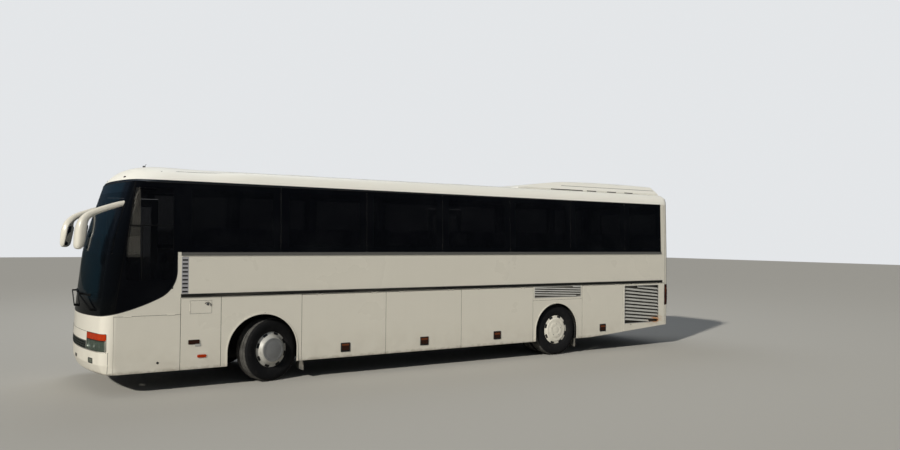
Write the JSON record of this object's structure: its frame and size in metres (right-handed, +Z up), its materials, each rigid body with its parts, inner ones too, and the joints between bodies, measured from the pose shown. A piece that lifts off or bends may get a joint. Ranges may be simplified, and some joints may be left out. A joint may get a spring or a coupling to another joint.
{
  "type": "touring coach bus",
  "caption": "High-deck touring coach with wraparound dark glazing, rooftop air conditioning, luggage flaps, swing doors and steered front wheels.",
  "frame": {"origin": "on the ground, on the centre line, halfway along the overall length with its mirrors", "axes": "+X ahead, +Y to the driver's side (left), +Z up"},
  "size_m": [12.23, 2.5568, 3.5906],
  "materials": {
    "body": "gloss cream-white paint",
    "glass": "dark tinted glazing",
    "lamp_glass": "clear and amber lamp lens",
    "black_trim": "black and grey strips",
    "mirror_shell": "white gloss",
    "frame_steel": "satin black",
    "floor": "plywood with grey covering",
    "liner": "matt black",
    "mud_rubber": "matt rubber",
    "bare_steel": "dull heat-stained",
    "cast": "cast and painted",
    "seat_cloth": "dark upholstery",
    "dash": "grained",
    "tyre": "black rubber",
    "rim": "painted steel with trim cap"
  },
  "bodies": {
    "coach": {"windscreen": "glass", "windows": "glass", "side_wall_left": "body", "side_wall_right": "body", "roof_shell": "body", "roof_sides": "body", "roof_hatches": "mirror_shell", "front_mask": "body", "front_bumper": "body", "rear_wall": "body", "rear_bumper": "body", "air_conditioner": "body", "lamps": "lamp_glass", "side_trims": "black_trim", "wipers": "black_trim", "mirrors": "mirror_shell", "underframe": "frame_steel", "floor_deck": "floor", "steps": "floor", "wheel_houses": "liner", "mud_flaps": "mud_rubber", "engine": "cast", "exhaust": "bare_steel", "front_axle": "frame_steel", "rear_axle": "frame_steel", "seats": "seat_cloth", "seat_backs": "seat_cloth", "dashboard": "dash"},
    "knuckle_left": {"knuckle_left": "cast"},
    "knuckle_right": {"knuckle_right": "cast"},
    "wheel_front_left": {"tyre_front_left": "tyre", "rim_front_left": "rim"},
    "wheel_front_right": {"tyre_front_right": "tyre", "rim_front_right": "rim"},
    "wheels_rear_left": {"tyres_rear_left": "tyre", "rims_rear_left": "rim"},
    "wheels_rear_right": {"tyres_rear_right": "tyre", "rims_rear_right": "rim"},
    "luggage_flap_left_1": {"luggage_flap_left_1": "body"},
    "luggage_flap_left_2": {"luggage_flap_left_2": "body"},
    "luggage_flap_left_3": {"luggage_flap_left_3": "body"},
    "luggage_flap_right_1": {"luggage_flap_right_1": "body"},
    "luggage_flap_right_2": {"luggage_flap_right_2": "body"},
    "service_flap_left": {"service_flap_left": "body"},
    "rear_flap_left": {"rear_flap_left": "body"},
    "grille_flap_left": {"grille_flap_left": "body"},
    "grille_flap_right": {"grille_flap_right": "body"},
    "fuel_flap": {"fuel_flap": "body"},
    "engine_cover": {"engine_cover": "body"},
    "front_door": {"front_door": "body", "front_door_glass": "glass"},
    "front_door_arm": {"front_door_arm": "frame_steel"},
    "middle_door": {"middle_door": "body", "middle_door_glass": "glass"},
    "middle_door_arm": {"middle_door_arm": "frame_steel"}
  },
  "joints": [
    {"name": "steer_left", "type": "hinge", "parent": "coach", "child": "knuckle_left", "pos_m": [3.229, 0.86, 0.51], "axis": [0, 0, 1], "range_deg": [-54, 26]},
    {"name": "spin_front_left", "type": "hinge", "parent": "knuckle_left", "child": "wheel_front_left", "pos_m": [3.18545, 1.03465, 0.51], "axis": [-0.2419, 0.9703, 0], "continuous": true},
    {"name": "spin_rear_left", "type": "hinge", "parent": "coach", "child": "wheels_rear_left", "pos_m": [-2.851, 1.055, 0.51], "axis": [0, 1, 0], "continuous": true},
    {"name": "steer_right", "type": "hinge", "parent": "coach", "child": "knuckle_right", "pos_m": [3.229, -0.86, 0.51], "axis": [0, 0, 1], "range_deg": [-54, 26]},
    {"name": "spin_front_right", "type": "hinge", "parent": "knuckle_right", "child": "wheel_front_right", "pos_m": [3.27255, -1.03465, 0.51], "axis": [-0.2419, 0.9703, 0], "continuous": true},
    {"name": "spin_rear_right", "type": "hinge", "parent": "coach", "child": "wheels_rear_right", "pos_m": [-2.851, -1.055, 0.51], "axis": [0, 1, 0], "continuous": true},
    {"name": "luggage_flap_left_1_hinge", "type": "hinge", "parent": "coach", "child": "luggage_flap_left_1", "pos_m": [1.889, 1.25, 1.39], "axis": [1, 0, 0], "range_deg": [0, 80]},
    {"name": "luggage_flap_left_2_hinge", "type": "hinge", "parent": "coach", "child": "luggage_flap_left_2", "pos_m": [0.305, 1.25, 1.39], "axis": [1, 0, 0], "range_deg": [0, 80]},
    {"name": "luggage_flap_left_3_hinge", "type": "hinge", "parent": "coach", "child": "luggage_flap_left_3", "pos_m": [-1.349, 1.25, 1.39], "axis": [1, 0, 0], "range_deg": [0, 80]},
    {"name": "luggage_flap_right_1_hinge", "type": "hinge", "parent": "coach", "child": "luggage_flap_right_1", "pos_m": [1.889, -1.25, 1.39], "axis": [-1, 0, 0], "range_deg": [0, 80]},
    {"name": "luggage_flap_right_2_hinge", "type": "hinge", "parent": "coach", "child": "luggage_flap_right_2", "pos_m": [0.305, -1.25, 1.39], "axis": [-1, 0, 0], "range_deg": [0, 80]},
    {"name": "rear_flap_left_hinge", "type": "hinge", "parent": "coach", "child": "rear_flap_left", "pos_m": [-4.101, 1.25, 1.39], "axis": [1, 0, 0], "range_deg": [0, 80]},
    {"name": "grille_flap_left_hinge", "type": "hinge", "parent": "coach", "child": "grille_flap_left", "pos_m": [-5.331, 1.25, 1.39], "axis": [1, 0, 0], "range_deg": [0, 80]},
    {"name": "grille_flap_right_hinge", "type": "hinge", "parent": "coach", "child": "grille_flap_right", "pos_m": [-5.331, -1.25, 1.39], "axis": [-1, 0, 0], "range_deg": [0, 80]},
    {"name": "service_flap_left_hinge", "type": "hinge", "parent": "coach", "child": "service_flap_left", "pos_m": [5.099, 1.25, 1.15], "axis": [1, 0, 0], "range_deg": [0, 80]},
    {"name": "fuel_flap_hinge", "type": "hinge", "parent": "coach", "child": "fuel_flap", "pos_m": [4.487, 1.25, 1.251], "axis": [0, 0, -1], "range_deg": [0, 110]},
    {"name": "engine_cover_hinge", "type": "hinge", "parent": "coach", "child": "engine_cover", "pos_m": [-6.111, 0, 1.78], "axis": [0, 1, 0], "range_deg": [0, 75]},
    {"name": "front_door_swing", "type": "hinge", "parent": "coach", "child": "front_door_arm", "pos_m": [5.229, -1.12, 1.5], "axis": [0, 0, 1], "range_deg": [0, 145]},
    {"name": "front_door_follow", "type": "hinge", "parent": "front_door_arm", "child": "front_door", "pos_m": [4.844, -1.1, 1.5], "axis": [0, 0, 1], "range_deg": [-145, 0]},
    {"name": "middle_door_swing", "type": "hinge", "parent": "coach", "child": "middle_door_arm", "pos_m": [-2.065, -1.12, 1.5], "axis": [0, 0, -1], "range_deg": [0, 145]},
    {"name": "middle_door_follow", "type": "hinge", "parent": "middle_door_arm", "child": "middle_door", "pos_m": [-1.68, -1.1, 1.5], "axis": [0, 0, -1], "range_deg": [-145, 0]}
  ],
  "couplings": [
    {"joint": "steer_right", "follows": "steer_left", "ratio": 1},
    {"joint": "front_door_follow", "follows": "front_door_swing", "ratio": -1},
    {"joint": "middle_door_follow", "follows": "middle_door_swing", "ratio": -1}
  ]
}
